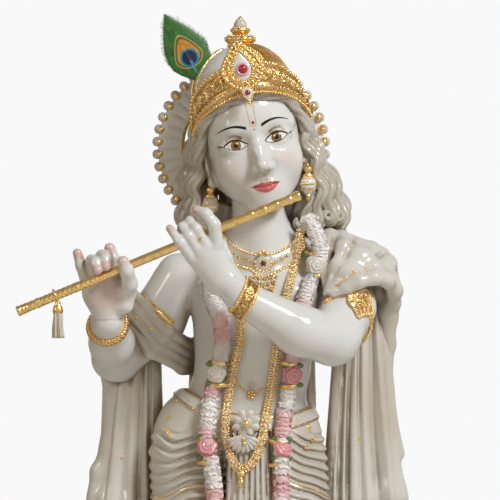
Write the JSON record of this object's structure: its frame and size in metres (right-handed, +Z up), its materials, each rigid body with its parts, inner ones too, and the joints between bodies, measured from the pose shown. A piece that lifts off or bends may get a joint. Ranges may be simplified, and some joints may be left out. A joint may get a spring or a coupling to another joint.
{
  "type": "statue of a flute player",
  "caption": "White marble statue of a crowned flute player in a crossed-leg stance, gilded and painted, with a feather, a garland and a low stepped plinth.",
  "frame": {"origin": "centre of the plinth's underside", "axes": "+Z up along the standing figure, -Y towards the side the figure faces, +X towards the figure's left hand"},
  "size_m": [0.4222, 0.2484, 0.9163],
  "materials": {
    "marble": "polished white marble",
    "plinth_marble": "polished white marble",
    "gilt": "polished gilding",
    "tassel_thread": "pale threads under a gilt cap",
    "feather": "green barbs with a turquoise and dark blue eye"
  },
  "bodies": {
    "root": {"figure": "marble", "plinth": "plinth_marble", "flute": "gilt", "flute_tassel": "tassel_thread", "peacock_feather": "feather"}
  },
  "joints": []
}
